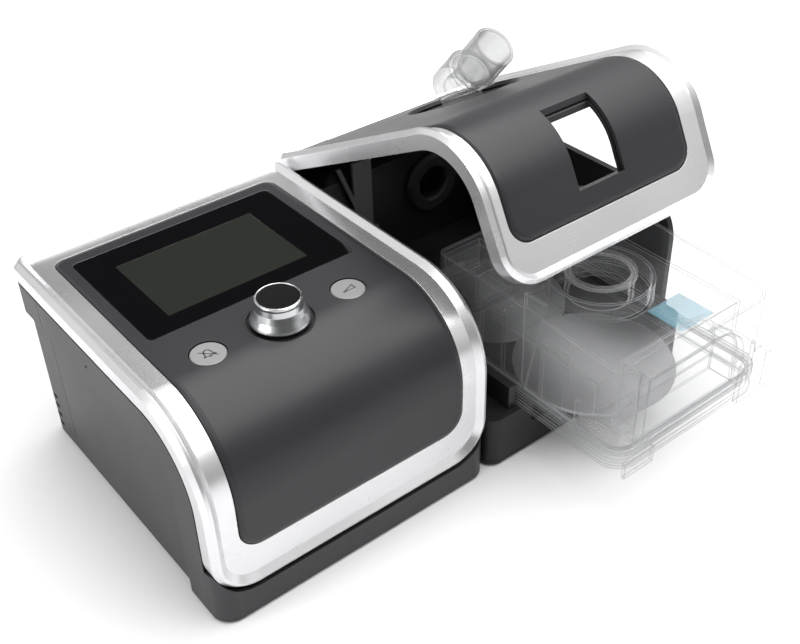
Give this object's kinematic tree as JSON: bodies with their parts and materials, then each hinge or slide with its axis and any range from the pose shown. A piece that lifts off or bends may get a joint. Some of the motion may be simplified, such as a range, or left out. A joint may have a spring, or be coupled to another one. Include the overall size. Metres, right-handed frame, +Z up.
{
  "type": "bedside breathing machine with heated humidifier",
  "caption": "Positive airway pressure unit with display, push-turn knob and round keys, docked to a humidifier with an open lid, swivel outlet and clear pull-out water chamber.",
  "frame": {"origin": "centre of the base of the bounding box, on the table top", "axes": "+X to the right along both units, +Y to the rear, +Z up"},
  "size_m": [0.3286, 0.269, 0.1902],
  "materials": {
    "charcoal_plastic": "satin",
    "black_plastic": "matte",
    "bright_trim": "satin metallic paint",
    "display_glass": "gloss",
    "metal": "brushed",
    "steel": "brushed",
    "copper": "wound wire",
    "board": "matte",
    "grey_plastic": "satin",
    "white_plastic": "satin",
    "foam": "open foam",
    "rubber": "matte",
    "silicone": "matte translucent",
    "clear_plastic": "clear polished",
    "pale_patch": "printed film"
  },
  "bodies": {
    "main_unit": {"base_tray": "charcoal_plastic", "left_side_cover": "charcoal_plastic", "right_side_cover": "charcoal_plastic", "rear_cover": "charcoal_plastic", "top_chassis": "grey_plastic", "main_trim": "bright_trim", "control_panel": "charcoal_plastic", "display_window": "display_glass", "lcd_module": "black_plastic", "main_board": "board", "encoder_body": "steel", "button_switches": "black_plastic", "blower_housing": "white_plastic", "blower_cap": "white_plastic", "motor_stator": "copper", "inlet_filter": "foam", "dc_socket": "black_plastic", "card_reader": "steel", "air_coupling": "black_plastic", "unit_feet": "rubber", "unit_screws": "steel"},
    "filter_door": {"filter_cover": "charcoal_plastic"},
    "knob_carrier": {"encoder_plunger": "copper"},
    "knob": {"encoder_spindle": "steel", "knob_skirt": "metal", "knob_cap": "black_plastic"},
    "mute_key": {"mute_button": "bright_trim"},
    "ramp_key": {"ramp_button": "bright_trim"},
    "blower_rotor": {"impeller": "white_plastic"},
    "humidifier": {"humidifier_base": "charcoal_plastic", "humidifier_bottom": "charcoal_plastic", "heater_plate": "metal", "heater_block": "metal", "slide_rails": "black_plastic", "air_duct": "black_plastic", "seal_ring": "rubber", "bay_bracket": "white_plastic", "hinge_pins": "steel", "humidifier_feet": "rubber", "humidifier_screws": "steel"},
    "lid": {"lid_trim": "bright_trim", "lid_panel": "charcoal_plastic", "lid_liner": "grey_plastic", "lid_duct": "grey_plastic", "lid_seal": "rubber"},
    "outlet": {"outlet_elbow": "clear_plastic", "elbow_ring": "grey_plastic"},
    "chamber": {"chamber_tub": "clear_plastic", "chamber_heat_plate": "metal", "chamber_gasket": "silicone", "chamber_cover": "clear_plastic", "chamber_port_ring": "silicone", "chamber_baffle": "clear_plastic", "chamber_handle": "clear_plastic", "chamber_latch": "clear_plastic", "chamber_patch": "pale_patch"}
  },
  "joints": [
    {"name": "knob_press", "type": "slide", "parent": "main_unit", "child": "knob_carrier", "axis": [0, 0, -1], "range_m": [0, 0.0008], "stiffness_N_per_m": 1500, "springref_m": -0.0012},
    {"name": "knob_spin", "type": "hinge", "parent": "knob_carrier", "child": "knob", "pos_m": [-0.08325, -0.0053, 0.11], "axis": [0, 0, 1], "continuous": true},
    {"name": "mute_press", "type": "slide", "parent": "main_unit", "child": "mute_key", "axis": [0, 0, -1], "range_m": [0, 0.0008], "stiffness_N_per_m": 900, "springref_m": -0.0012},
    {"name": "ramp_press", "type": "slide", "parent": "main_unit", "child": "ramp_key", "axis": [0, 0, -1], "range_m": [0, 0.0008], "stiffness_N_per_m": 900, "springref_m": -0.0012},
    {"name": "impeller_spin", "type": "hinge", "parent": "main_unit", "child": "blower_rotor", "pos_m": [-0.07625, 0.0575, 0.04], "axis": [0, 0, 1], "continuous": true},
    {"name": "filter_door_pull", "type": "slide", "parent": "main_unit", "child": "filter_door", "axis": [0, 1, 0], "range_m": [0, 0.02]},
    {"name": "humidifier_undock", "type": "slide", "parent": "main_unit", "child": "humidifier", "axis": [1, 0, 0], "range_m": [0, 0.04]},
    {"name": "lid_hinge", "type": "hinge", "parent": "humidifier", "child": "lid", "pos_m": [0.08725, 0.1305, 0.1135], "axis": [-1, 0, 0], "range_deg": [-3, 60]},
    {"name": "outlet_swivel", "type": "hinge", "parent": "lid", "child": "outlet", "pos_m": [0.11675, 0.08747, 0.13042], "axis": [0, 0.4587, 0.8886], "continuous": true},
    {"name": "chamber_slide", "type": "slide", "parent": "humidifier", "child": "chamber", "axis": [0, -1, 0], "range_m": [-0.0855, 0.08]}
  ]
}
